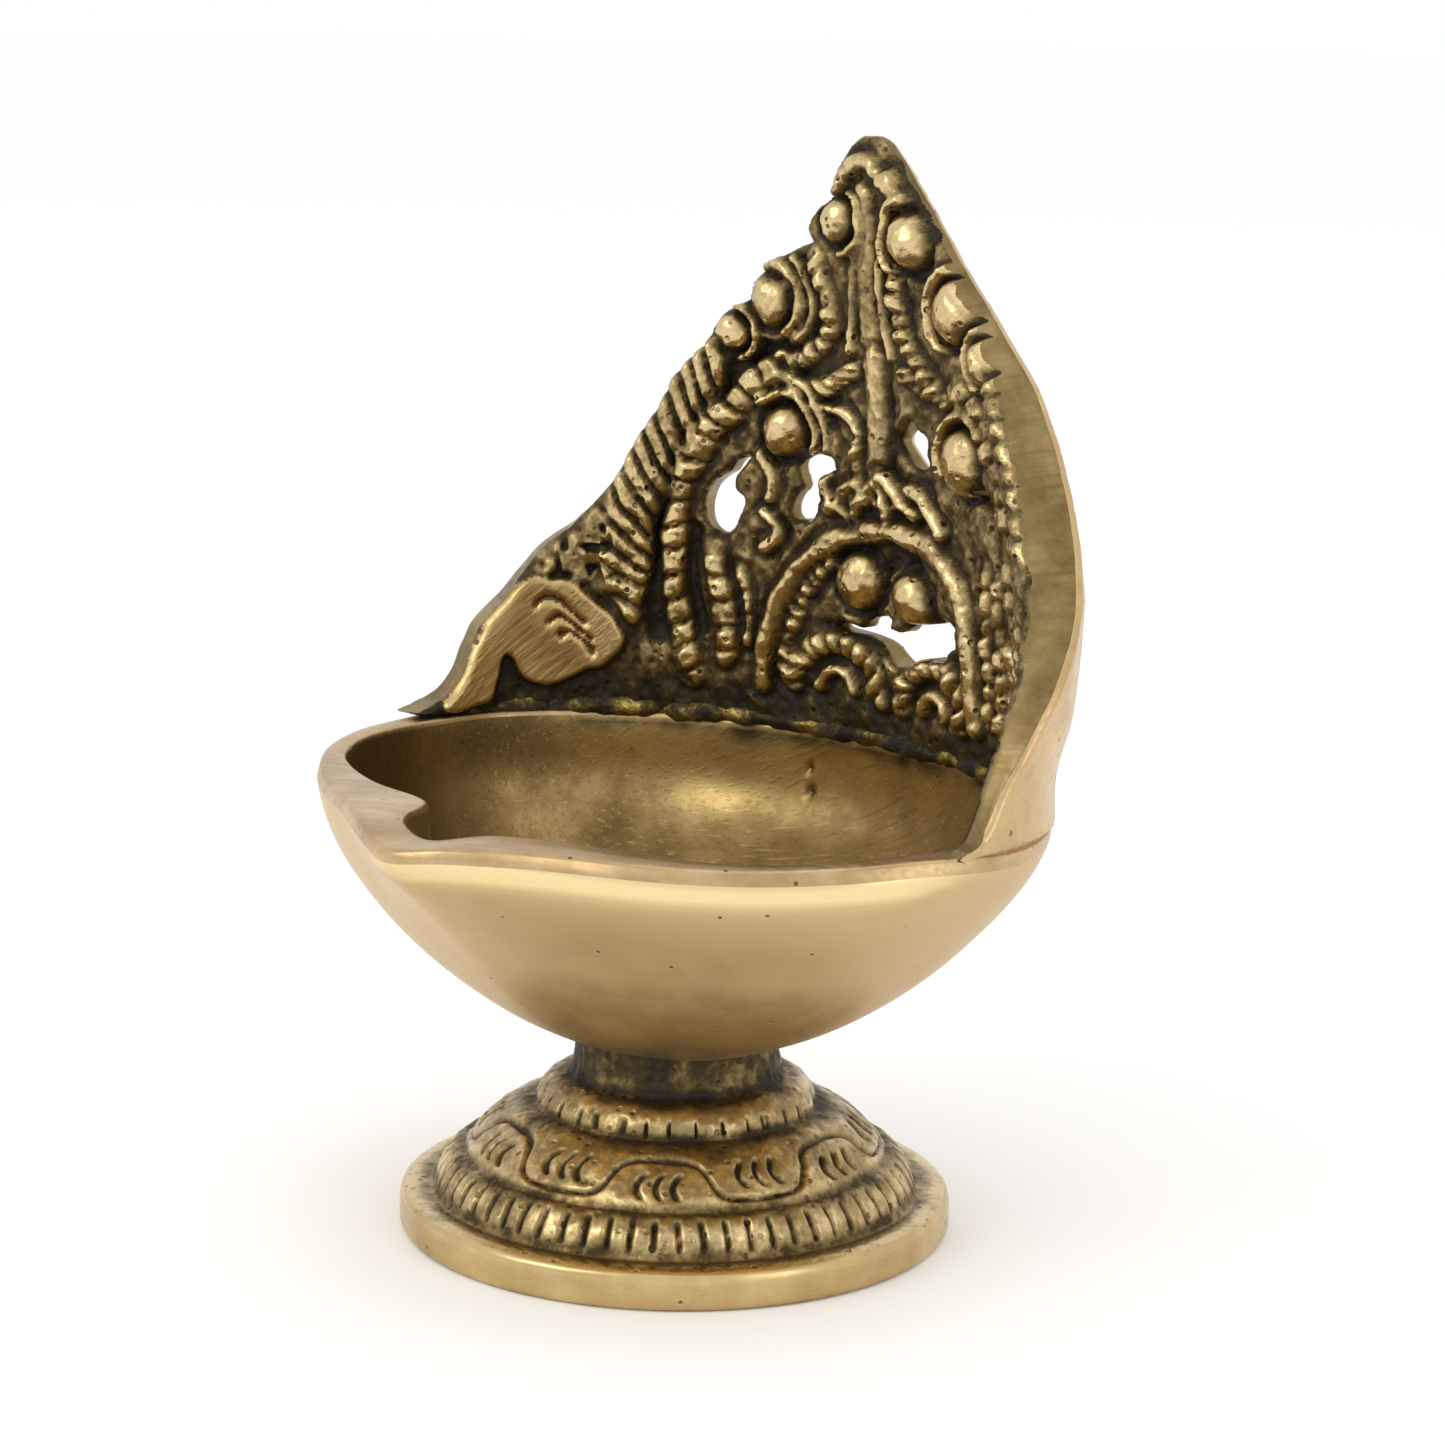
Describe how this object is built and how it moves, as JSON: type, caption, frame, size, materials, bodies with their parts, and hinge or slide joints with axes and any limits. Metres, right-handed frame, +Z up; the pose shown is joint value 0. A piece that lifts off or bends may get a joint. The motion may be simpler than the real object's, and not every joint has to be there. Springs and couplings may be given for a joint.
{
  "type": "diya oil lamp",
  "caption": "Footed brass diya: oval oil bowl with a pinched wick spout, pointed openwork back plate on the rear rim, and a hollow stepped pedestal foot.",
  "frame": {"origin": "centre of the bounding box's bottom face, on the surface that the foot stands on", "axes": "+Z up through the pointed back plate's tip, -Y towards the wick spout, +X to the bowl's side"},
  "size_m": [0.0728, 0.0626, 0.0916],
  "materials": {
    "polished_brass": "satin-polished cast brass, brushed inside, with a few casting pits",
    "antique_brass": "cast brass with a dark brown patina in the recesses and rubbed highlights",
    "braze_filler": "rough greenish-yellow brazing brass with dark flux residue",
    "bolt_brass": "turned brass, slightly tarnished"
  },
  "bodies": {
    "root": {"bowl": "polished_brass", "back_plate": "antique_brass", "braze_seam_left": "braze_filler", "braze_seam_back": "braze_filler", "braze_seam_right": "braze_filler", "foot": "antique_brass", "foot_bolt": "bolt_brass"}
  },
  "joints": []
}
